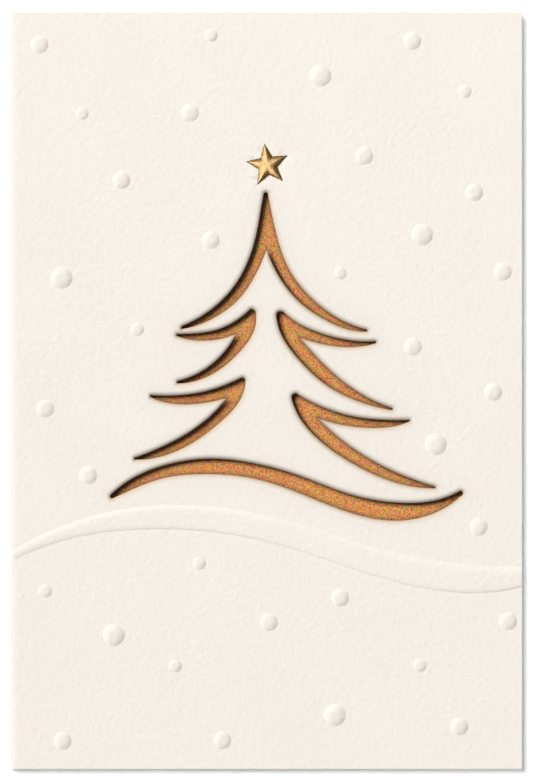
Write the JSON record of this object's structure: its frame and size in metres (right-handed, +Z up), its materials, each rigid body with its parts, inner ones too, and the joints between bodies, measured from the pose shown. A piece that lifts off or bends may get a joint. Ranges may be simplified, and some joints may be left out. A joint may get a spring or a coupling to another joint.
{
  "type": "greeting card",
  "caption": "Folded cream greeting card with a laser-cut fir tree over a copper glitter insert, embossed snow and hill, and a gold foil star.",
  "frame": {"origin": "middle of the closed card, on the surface that it lies on", "axes": "+X from the fold to the free edge, +Y to the head of the card, +Z up out of the cover"},
  "size_m": [0.115, 0.17, 0.0026],
  "materials": {
    "felt_board": "matt cream board with a fine felt mark",
    "glitter_paper": "copper glitter outside, plain cream inside",
    "gold_foil": "bright gold foil, pressed on"
  },
  "bodies": {
    "root": {"card": "felt_board", "glitter_insert": "glitter_paper", "star_foil": "gold_foil"}
  },
  "joints": []
}
